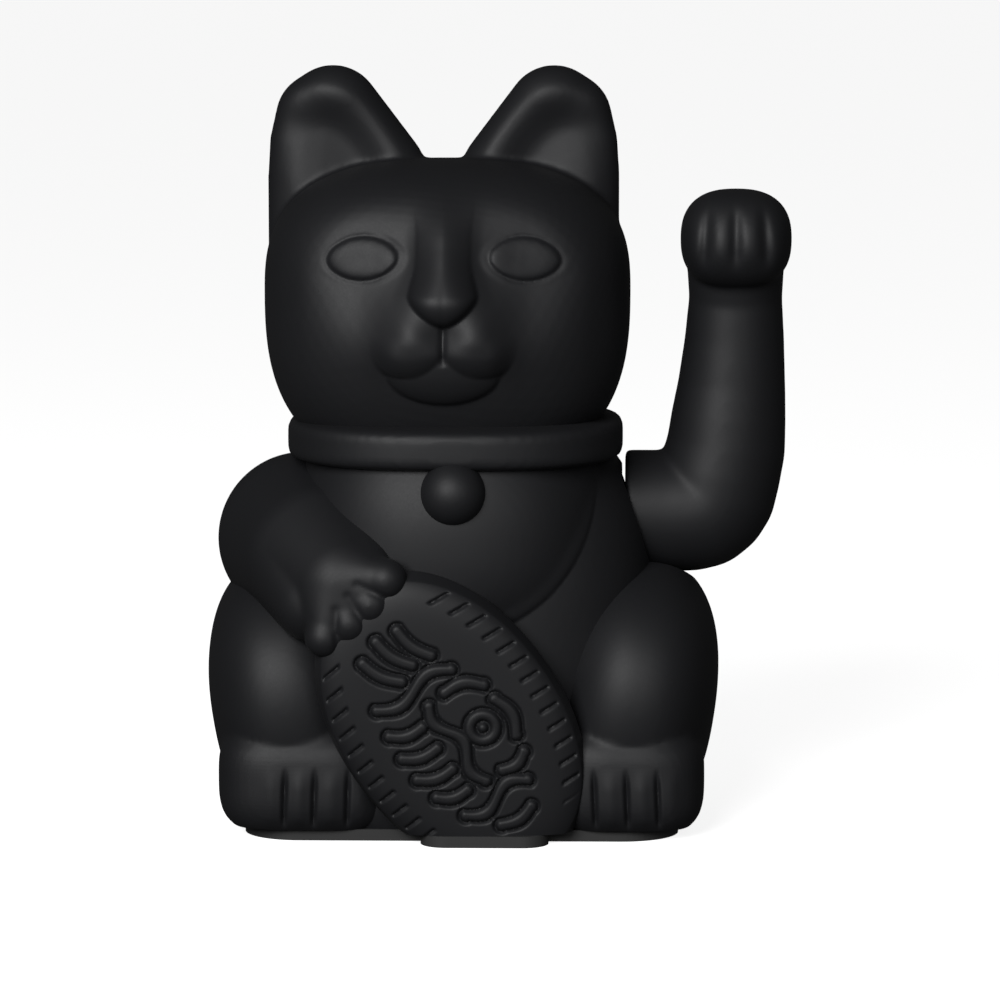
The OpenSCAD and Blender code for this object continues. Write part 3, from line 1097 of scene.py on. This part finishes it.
@dataclass(frozen=True)
class Trunk:
    """The seated body: torso, bib, collar, bell, legs and the arm that holds the coin.

    Attributes:
        bib_at: The bib's middle, across and up.
        bib_half: The bib's half sizes.
        bib_high: How far the bib stands out.
        toes: The grooves between the toes of each foot, across.
        toe_top: Where the grooves start.
        toe_foot: Where they end.
        tips: The tips of the fingers on the coin: across, up and radius.
        palm: The point that those fingers spread from, across and up.
        grain: The size of the skin's faces.
    """

    bib_at: tuple[float, float] = (-1.6, 68.5)
    bib_half: tuple[float, float] = (27.6, 28.8)
    bib_high: float = 1.9
    toes: tuple[float, ...] = (-33.5, -27.8, -21.4, 25.8, 32.0, 37.9)
    toe_top: float = 15.2
    toe_foot: float = 3.6
    tips: tuple[Point, ...] = ((-13.8, 51.6, 3.3), (-16.7, 47.0, 3.2), (-20.7, 43.4, 3.3), (-25.4, 40.6, 3.1))
    palm: tuple[float, float] = (-23.4, 53.0)
    grain: float = 0.78

    def torso(self) -> list[Form]:
        """Lay out the torso.

        Returns:
            Its forms.
        """
        return [
            Form((0.0, 3.0, 40.0), (37.5, 33.0, 43.0), 2.5),
            Form((-2.0, -3.0, 57.0), (31.5, 29.5, 30.0), 2.3),
            Form((0.0, 8.0, 22.0), (42.0, 31.0, 28.0), 2.8, low=31.0),
            Form((-2.0, -16.0, 12.0), (34.0, 15.5, 16.0), 2.8),
        ]

    def collar(self) -> Form:
        """Return the collar."""
        return Form((-1.6, -1.5, 75.5), (32.7, 32.9, 4.4), 2.5, side=7.0)

    def leg(self, side: int) -> list[Form]:
        """Lay out one leg.

        Args:
            side: -1 on the coin's side, where the foot reaches in behind the coin, and 1 on the other.

        Returns:
            The thigh and the foot.
        """
        inner = 2.0 if side < 0 else 0.0
        return [
            Form((side * 33.2, -5.0, 24.3), (16.2, 28.2, 26.6), 2.35, (14.0, side * 8.0, 0.0)),
            Form((side * (31.8 - inner), -17.6, 11.2), (15.2 + inner, 16.2, 11.5), 3.4),
        ]

    def arm(self) -> list[Hull]:
        """Lay out the arm that reaches the coin.

        Returns:
            The upper arm and the wrist.
        """
        shoulder, middle = ((-31.4, -3.0, 55.2), 16.8), ((-27.8, -17.0, 53.4), 14.8)
        palm, heel = ((-22.8, -28.2, 50.4), 10.5), ((-27.4, -29.0, 46.6), 8.4)
        return [Hull((shoulder, middle)), Hull((middle, palm, heel))]

    def fingers(self) -> list[Hull]:
        """Lay out the paw on the coin.

        Returns:
            The paw's rounded back and its four fingers.
        """
        palm = Vector(self.palm)
        roots = [Vector((x, z)).lerp(palm, 0.24) for x, z, _ in self.tips]
        mitt = tuple(((root.x, -36.8, root.y), 3.7) for root in roots)
        made = [Hull((*mitt, ((-22.6, -30.6, 50.2), 9.8), ((-27.8, -17.0, 53.4), 14.8)))]
        for (x, z, r), root in zip(self.tips, roots):
            made.append(Hull((((x, -37.2, z), r + 0.8), ((root.x, -36.2, root.y), r + 0.9))))
        return made

    def carve_paw(self, skin: Skin) -> None:
        """Press the short grooves between the fingers.

        Args:
            skin: The skin of the arm that holds the coin.
        """
        palm, front = Vector(self.palm), skin.facing_front(0.0)
        for (x0, z0, _), (x1, z1, _) in zip(self.tips, self.tips[1:]):
            start = Vector(((x0 + x1) / 2, (z0 + z1) / 2))
            run = (palm - start).normalized()
            along = np.clip((skin.x - start.x) * run.x + (skin.z - start.y) * run.y, -4.0, 4.2)
            off = np.hypot(skin.x - start.x - along * run.x, skin.z - start.y - along * run.y)
            skin.forward(-0.3 * bell_curve(off, 0.65) * front)

    def carved_torso(self) -> Mesh:
        """Fuse the torso and raise the bib on it.

        Returns:
            The torso's skin.
        """
        mesh = fused(self.torso(), self.grain, 6)
        finer(mesh, Block((-40.0, -60.0, 32.0), (34.0, -18.0, 74.0)))
        skin = Skin(mesh)
        (across, up), (half_x, half_z) = self.bib_at, self.bib_half
        q = np.hypot((skin.x - across) / half_x, np.minimum(skin.z - up, 0.0) / half_z)
        front = skin.facing_front(0.0) * smooth(-6.0, -12.0, skin.y)
        skin.forward(self.bib_high * dome(q, 5.0) * front)
        return skin.done()

    def parts(self) -> list[Mesh]:
        """Fuse the groups that meet the torso along crisp creases.

        Returns:
            The skins of the collar, the bell, the legs and the arm.
        """
        legs = []
        for side in (-1, 1):
            leg = fused(self.leg(side), self.grain, 2)
            low, high = sorted((side * 16.0, side * 47.0))
            for _ in range(2):
                finer(leg, Block((low, -60.0, -1.0), (high, -27.0, 17.5)))
            legs.append(leg)
        paw = Skin(fused([*self.arm(), *self.fingers()], self.grain * 0.6, 7))
        self.carve_paw(paw)
        bell = fused([Form((-1.2, -31.8, 67.4), (6.25, 6.25, 6.25), 2.0)], self.grain * 0.6, 0)
        return [fused([self.collar()], self.grain, 1), bell, *legs, paw.done()]

    def skin(self) -> Mesh:
        """Join the torso and the other groups, and carve them.

        Returns:
            The body's finished outer skin.
        """
        mesh = self.carved_torso()
        for part in self.parts():
            mesh = cut(mesh, part, Cut.JOIN)
        skin = Skin(mesh)
        self.carve_toes(skin)
        skin.outward(-SEAM_DEEP * bell_curve(skin.y - SEAM_Y, SEAM_WIDE))
        return skin.done()

    def carve_toes(self, skin: Skin) -> None:
        """Press the thin grooves between the toes.

        Args:
            skin: The body's skin.
        """
        front = skin.facing_front(0.0) * smooth(-24.0, -28.0, skin.y)
        top, foot = self.toe_top, self.toe_foot
        height = smooth(top, top - 5.0, skin.z) * smooth(foot - 1.5, foot + 1.5, skin.z)
        for x in self.toes:
            lean = x + 0.04 * (skin.z - 9.0) * (1 if x < 0 else -1)
            skin.forward(-0.95 * bell_curve(skin.x - lean, 0.48) * height * front)
            skin.forward(0.25 * bell_curve(np.abs(skin.x - lean) - 2.6, 1.5) * height * front)

    def hollow(self) -> list[Solid]:
        """Return what the wall leaves free inside the body."""
        legs = [*self.leg(-1), *self.leg(1)]
        return [part.inset(WALL) for part in (*self.torso(), self.collar(), *legs, *self.arm())]


@dataclass(frozen=True)
class Stroke:
    """One raised stroke of the coin's plain ornament, a bar that can swing to one side.

    Attributes:
        start: Its start on the coin's face: across the coin and down it.
        end: Its end.
        swing: How far its middle swings sideways.
        wave: How many half waves the swing makes.
        width: Its half width.
    """

    start: tuple[float, float]
    end: tuple[float, float]
    swing: float = 0.0
    wave: int = 1
    width: float = 0.95

    def distance(self, p: np.ndarray, l: np.ndarray) -> np.ndarray:
        """Return how far each point lies outside the stroke.

        Args:
            p: The points' places across the coin.
            l: The points' places down it.

        Returns:
            The distances; they are negative inside the stroke.
        """
        run, drop = self.end[0] - self.start[0], self.end[1] - self.start[1]
        length = math.hypot(run, drop)
        run, drop = run / length, drop / length
        along = np.clip((p - self.start[0]) * run + (l - self.start[1]) * drop, 0.0, length)
        bend = self.swing * np.sin(along / length * math.pi * self.wave)
        near_p = self.start[0] + along * run - bend * drop
        near_l = self.start[1] + along * drop + bend * run
        return np.hypot(p - near_p, l - near_l) - self.width


@dataclass(frozen=True)
class Coin:
    """The oval coin that leans against the body, with a border of notches and a plain ornament.

    Attributes:
        form: The coin's form; its own X is its short axis and its own Z its long one.
        tick_pitch: The distance between the border's notches.
        grain: The size of the skin's faces.
        strokes: The ornament.
    """

    form: Form = Form((-1.6, -32.3, 23.6), (21.5, 6.4, 32.4), 2.1, (5.0, -35.0, 0.0))
    tick_pitch: float = 3.6
    grain: float = 0.41
    strokes: tuple[Stroke, ...] = (
        Stroke((-6.5, -20.0), (-2.5, -13.0), 0.8),
        Stroke((-2.0, -22.0), (1.0, -14.5), 0.8),
        Stroke((2.5, -21.5), (5.0, -14.0), 0.8),
        Stroke((-9.5, -11.0), (6.5, -9.5), 1.5, 2),
        Stroke((-10.5, -5.5), (-4.5, -3.5), 0.9),
        Stroke((-11.0, -0.5), (-4.5, 1.5), 0.9),
        Stroke((-11.0, 4.5), (-4.5, 6.5), 0.9),
        Stroke((-10.0, 9.5), (-4.5, 11.5), 0.9),
        Stroke((-1.0, -6.0), (-0.5, 12.0), 1.3, 3),
        Stroke((3.0, -6.5), (9.8, -3.5), -1.2),
        Stroke((10.0, 0.0), (9.4, 8.0), -1.4),
        Stroke((3.4, 12.2), (8.6, 11.6), 1.0),
        Stroke((-7.5, 15.5), (6.0, 16.5), 1.6, 2),
        Stroke((-3.0, 21.0), (3.6, 21.2), 1.0),
    )

    def relief(self, p: np.ndarray, l: np.ndarray) -> np.ndarray:
        """Return the height of the ornament over the coin's face.

        Args:
            p: The points' places across the coin.
            l: The points' places down it.

        Returns:
            The heights, in millimetres.
        """
        nearest = np.minimum.reduce([stroke.distance(p, l) for stroke in self.strokes])
        ring = np.abs(np.hypot(p - 5.0, l - 3.2) - 2.5) - 0.8
        nearest = np.minimum(nearest, np.minimum(ring, np.hypot(p - 5.0, l - 3.2) - 0.7))
        return 0.25 * smooth(0.35, -0.7, nearest) - 0.75 * bell_curve(nearest - 0.45, 0.34)

    def notches(self, p: np.ndarray, l: np.ndarray) -> np.ndarray:
        """Return how deep the border's notches are.

        Args:
            p: The points' places across the coin.
            l: The points' places down it.

        Returns:
            The depths, from 0 to 1.
        """
        half_p, _, half_l = self.form.half
        edge = half_p * dome(l / half_l, self.form.power)
        slant = l - 0.12 * np.abs(p)
        off = np.abs((slant / self.tick_pitch) % 1.0 - 0.5) * self.tick_pitch
        inner, outer = edge - 5.6, edge - 1.7
        side = np.abs(p)
        reach = smooth(inner - 0.3, inner + 0.5, side) * smooth(outer + 0.3, outer - 0.5, side)
        return bell_curve(off, 0.36) * reach * smooth(25.0, 23.5, np.abs(l))

    def skin(self) -> Mesh:
        """Fuse the coin lying flat, carve its face and set it in its place.

        Returns:
            Its finished outer skin.
        """
        flat = Form((0.0, 0.0, 0.0), self.form.half, self.form.power)
        mesh = fused([flat], self.grain, 2)
        half_p, thick, half_l = self.form.half
        finer(mesh, Block((-half_p, -20.0, -half_l), (half_p, -1.0, half_l)))
        skin = Skin(mesh)
        p, l = skin.x, -skin.z
        power = self.form.power
        q = ((np.abs(p) / half_p) ** power + (np.abs(l) / half_l) ** power) ** (1 / power)
        front = smooth(0.0, 0.2, -skin.normal[:, 1]) * smooth(1.0, 0.95, q)
        face = thick * dome(q / 1.015, 9.0) * (0.9 + 0.1 * (1.0 - q * q))
        height = face + skin.y + self.relief(p, l) * smooth(0.84, 0.78, q) - 0.6 * self.notches(p, l)
        skin.forward(height * front)
        mesh = skin.done()
        mesh.transform(self.form.place())
        return mesh


@dataclass(frozen=True)
class FixedBody:
    """The moulded front and rear shells, from all of the fixed outer forms.

    Attributes:
        head: The head.
        trunk: The body under it.
        coin: The coin.
        shoulder_x: The flat floor of the waving arm's pocket, across.
        pocket_r: The pocket's radius.
        axle: The axle's place, back and up.
    """

    head: Head = Head()
    trunk: Trunk = Trunk()
    coin: Coin = Coin()
    shoulder_x: float = 31.0
    pocket_r: float = 13.4
    axle: tuple[float, float] = AXLE

    def build(self) -> list[Piece]:
        """Build the shells.

        Returns:
            The pieces.
        """
        hollow = fused([*self.head.hollow(), *self.trunk.hollow()], 1.4, 2)
        under = gathered([Block((-FAR, -FAR, -FAR), (FAR, FAR, FLOOR_Z))])
        pocket = gathered([Drum((self.shoulder_x, *self.axle), self.pocket_r, FAR)])
        opening = gathered([Drum((self.shoulder_x - 10.0, *self.axle), 3.2, 20.0)])
        pieces = []
        skins = {"head": self.head.skin(), "trunk": self.trunk.skin(), "coin": self.coin.skin()}
        for name, mesh in skins.items():
            mesh = cut(mesh, under, Cut.REMOVE)
            mesh = cut(mesh, hollow, Cut.REMOVE)
            if name == "trunk":
                mesh = cut(mesh, pocket, Cut.REMOVE)
                mesh = cut(mesh, opening, Cut.REMOVE)
            pieces += self.halves(name, mesh)
        return pieces

    def halves(self, name: str, mesh: Mesh) -> list[Piece]:
        """Split a skin at the seam and finish both halves.

        Args:
            name: The skin's name.
            mesh: The skin; the coin lies wholly in front of the seam.

        Returns:
            The finished pieces.
        """
        front = gathered([Block((-FAR, -FAR, -FAR), (FAR, SEAM_Y, FAR))])
        rear = gathered([Block((-FAR, SEAM_Y, -FAR), (FAR, FAR, FAR))])
        pieces = []
        for half, tool, node in (("front", front, "front_shell"), ("rear", rear, "rear_shell")):
            if name == "coin" and half == "rear":
                continue
            piece = in_metres(swept(cut(mesh.copy(), tool, Cut.KEEP)), f"{name}_{half}")
            fit(piece, "body", "soft_black", Look.SKIN, node)
            pieces.append(piece)
        return pieces


@dataclass(frozen=True)
class WavingArm:
    """The arm that swings, moulded in two halves.

    Attributes:
        axle: The axle's place, back and up.
        end_x: The flat end face beside the body.
        round_r: The radius of the round end at the shoulder.
        wall: The halves' wall.
        grooves: The grooves between the fingers, across.
        knuckles: The fingers' middles, across.
        grain: The size of the skin's faces.
    """

    axle: tuple[float, float] = AXLE
    end_x: float = 31.6
    round_r: float = 12.0
    wall: float = 1.6
    grooves: tuple[float, ...] = (46.9, 52.6, 58.4)
    knuckles: tuple[float, ...] = (44.4, 49.7, 55.5, 61.0)
    grain: float = 0.45

    def forms(self) -> list[Solid]:
        """Lay out the arm.

        Returns:
            Its solids, from the shoulder to the paw.
        """
        y, z = self.axle
        balls = (
            ((40.0, y, z), 12.0),
            ((44.6, y, 60.1), 12.1),
            ((46.6, y, 60.6), 12.1),
            ((48.2, y, 61.8), 12.0),
            ((49.3, y, 63.6), 12.0),
            ((50.1, y, 67.0), 12.0),
            ((51.3, y, 72.0), 11.7),
            ((51.8, y, 77.5), 11.3),
            ((52.4, y, 84.0), 10.6),
            ((52.9, y - 0.4, 93.0), 9.8),
            ((53.1, y - 1.0, 102.0), 9.1),
            ((53.0, y - 3.0, 111.0), 9.6),
        )
        chain = [Hull(pair) for pair in zip(balls, balls[1:])]
        return [Drum((self.end_x, y, z), self.round_r, 8.4), *chain, self.paw()]

    def paw(self) -> Form:
        """Return the paw."""
        return Form((53.0, -1.8, 113.9), (10.8, 12.2, 9.7), 2.5)

    def carve_fingers(self, skin: Skin) -> None:
        """Press the grooves between the paw's fingers and round each finger a little.

        Args:
            skin: The arm's skin.
        """
        front = skin.facing_front(0.0) * smooth(-4.0, -8.0, skin.y)
        height = smooth(122.5, 117.5, skin.z) * smooth(107.5, 112.0, skin.z)
        for x in self.grooves:
            lean = x + 0.05 * (x - 52.7) * (114.0 - skin.z) / 4.0
            skin.forward(-0.7 * bell_curve(skin.x - lean, 1.1) * height * front)
        for x in self.knuckles:
            bulge = bell_curve(np.hypot((skin.x - x) / 2.5, (skin.z - 113.0) / 5.0), 1.0)
            skin.forward(0.9 * bulge * front)

    def build(self) -> list[Piece]:
        """Build both halves.

        Returns:
            The pieces.
        """
        mesh = fused(self.forms(), self.grain, 14)
        finer(mesh, Block((40.0, -40.0, 104.0), (66.0, -3.0, 124.0)))
        skin = Skin(mesh)
        self.carve_fingers(skin)
        skin.relax(4)
        skin.outward(-SEAM_DEEP * bell_curve(skin.y - SEAM_Y, SEAM_WIDE))
        beside = gathered([Block((-FAR, -FAR, -FAR), (self.end_x, FAR, FAR))])
        outer = cut(skin.done(), beside, Cut.REMOVE)
        y, z = self.axle
        inner = [part.inset(self.wall) for part in self.forms()[1:]]
        inner.append(Drum((self.end_x + self.wall, y, z), self.round_r - self.wall, 8.0))
        outer = cut(outer, fused(inner, 1.2, 0), Cut.REMOVE)
        outer = cut(outer, gathered([Drum((self.end_x - 1.0, y, z), 4.3, 4.0)]), Cut.REMOVE)
        pieces = []
        for half, low, high in (("front", -FAR, SEAM_Y), ("rear", SEAM_Y, FAR)):
            tool = gathered([Block((-FAR, low, -FAR), (FAR, high, FAR))])
            piece = in_metres(cut(outer.copy(), tool, Cut.KEEP), f"arm_{half}")
            fit(piece, "waving_arm", "soft_black", Look.SKIN, f"arm_{half}_half")
            pieces.append(piece)
        return pieces


@dataclass(frozen=True)
class InnerParts:
    """The drive, the power parts and the base, which keep their design meshes.

    Attributes:
        looks: Each design node's finish.
    """

    looks: dict[str, Look] = field(
        default_factory=lambda: {
            "base_plate": Look.BASE,
            "battery_cover": Look.BASE,
            "base_screws": Look.STEEL,
            "bearing_bracket": Look.NATURAL,
            "bracket_screws": Look.STEEL,
            "inner_bush": Look.BRONZE,
            "outer_bush": Look.BRONZE,
            "axle": Look.STEEL,
            "axle_clips": Look.SPRING,
            "pendulum_lever": Look.NATURAL,
            "counterweight": Look.IRON,
            "drive_magnet": Look.NICKEL,
            "arm_hub": Look.NATURAL,
            "hub_screw": Look.STEEL,
            "coil_bobbin": Look.NATURAL,
            "coil_winding": Look.COPPER,
            "coil_core": Look.IRON,
            "circuit_board": Look.BOARD,
            "board_screws": Look.STEEL,
            "transistor": Look.DARK,
            "capacitor": Look.CAPACITOR,
            "resistors": Look.RESISTOR,
            "coil_leads": Look.AMBER,
            "battery_cell": Look.CELL,
            "positive_contact": Look.NICKEL,
            "negative_spring": Look.NICKEL,
            "battery_leads": Look.RED,
            "switch_housing": Look.DARK,
            "switch_leads": Look.BLACK,
            "switch_slider": Look.NATURAL,
        }
    )

    def dress(self) -> None:
        """Give each node its finish."""
        for name, look in self.looks.items():
            dress_node(name, look)
        LOG.info("%d design nodes dressed", len(self.looks))


# ---------------------------------------------------------------- the studio


@dataclass(frozen=True)
class Studio:
    """The floor, the lights and the camera.

    Attributes:
        turn: How far the camera stands round to the right, in degrees.
        rise: How far it looks down, in degrees.
        distance: How far it is from what it looks at, in metres.
        target: What it looks at.
        view: The width of the view at the target, in metres.
        floor_half: Half the floor's width, in metres.
        ambient: The strength of the light from all round.
        mirrored: The strength of the surroundings in reflections.
    """

    turn: float = 1.3
    rise: float = 7.0
    distance: float = 0.95
    target: Point = (0.007, 0.0, 0.0623)
    view: float = 0.1965
    floor_half: float = 14.0
    ambient: float = 0.1
    mirrored: float = 0.03

    def place_camera(self) -> None:
        """Place the camera and make it the scene's."""
        turn, rise = math.radians(self.turn), math.radians(self.rise)
        ahead = Vector((-math.sin(turn) * math.cos(rise), math.cos(turn) * math.cos(rise), -math.sin(rise)))
        lens = bpy.data.cameras.new("camera")
        lens.sensor_width = 36.0
        lens.lens = lens.sensor_width * self.distance / self.view
        lens.clip_end = 20.0
        camera = as_piece("camera", lens)
        camera.location = Vector(self.target) - ahead * self.distance
        camera.rotation_euler = ahead.to_track_quat("-Z", "Y").to_euler()
        bpy.context.scene.camera = camera

    def lay_floor(self) -> None:
        """Lay a plain pale floor that runs up into the background."""
        bm = bmesh.new()
        bmesh.ops.create_grid(bm, x_segments=1, y_segments=1, size=self.floor_half)
        mesh = bpy.data.meshes.new("floor")
        bm.to_mesh(mesh)
        bm.free()
        floor = as_piece("floor", mesh)
        graph = Graph("pale_floor")
        graph.set(Base_Color=(0.9, 0.9, 0.9), Roughness=0.9, Specular_IOR_Level=0.1)
        graph.set(Emission_Color=(1.0, 1.0, 1.0), Emission_Strength=0.84)
        mesh.materials.append(graph.material)
        floor.visible_glossy = False
        floor.visible_diffuse = False

    def lamp(self, name: str, place: Point, size: float, power: float) -> None:
        """Hang one soft lamp that faces the figure.

        Args:
            name: The lamp's name.
            place: Where it hangs, in metres.
            size: Its width, in metres.
            power: Its power, in watts.
        """
        light = bpy.data.lights.new(name, "AREA")
        light.shape = "DISK"
        light.size = size
        light.energy = power
        lamp = as_piece(name, light)
        lamp.location = place
        lamp.rotation_euler = (Vector((0.0, 0.0, 0.07)) - lamp.location).to_track_quat("-Z", "Y").to_euler()

    def light(self) -> None:
        """Light the figure from the upper left, with a weaker fill and a bright background."""
        world = bpy.data.worlds.new("studio")
        world.use_nodes = True
        tree = world.node_tree
        backdrop = tree.nodes["Background"]
        backdrop.inputs["Color"].default_value = (1.0, 1.0, 1.0, 1.0)
        ray = tree.nodes.new("ShaderNodeLightPath")
        strength = tree.nodes.new("ShaderNodeMapRange")
        strength.inputs["To Min"].default_value = self.ambient
        strength.inputs["To Max"].default_value = self.mirrored
        tree.links.new(ray.outputs["Is Glossy Ray"], strength.inputs["Value"])
        tree.links.new(strength.outputs["Result"], backdrop.inputs["Strength"])
        bpy.context.scene.world = world
        self.lamp("key", (-0.3, -0.76, 0.44), 0.55, 6.3)
        self.lamp("fill", (0.4, -0.95, 0.34), 0.5, 0.9)

    def build(self) -> None:
        """Set the whole studio up."""
        bpy.context.scene.view_settings.view_transform = "Standard"
        self.place_camera()
        self.lay_floor()
        self.light()


def main() -> None:
    """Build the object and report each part."""
    logging.basicConfig(level=logging.INFO, format="%(name)s: %(message)s")
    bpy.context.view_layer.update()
    Studio().build()
    FixedBody().build()
    WavingArm().build()
    InnerParts().dress()


if __name__ == "__main__":
    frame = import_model()
    main()
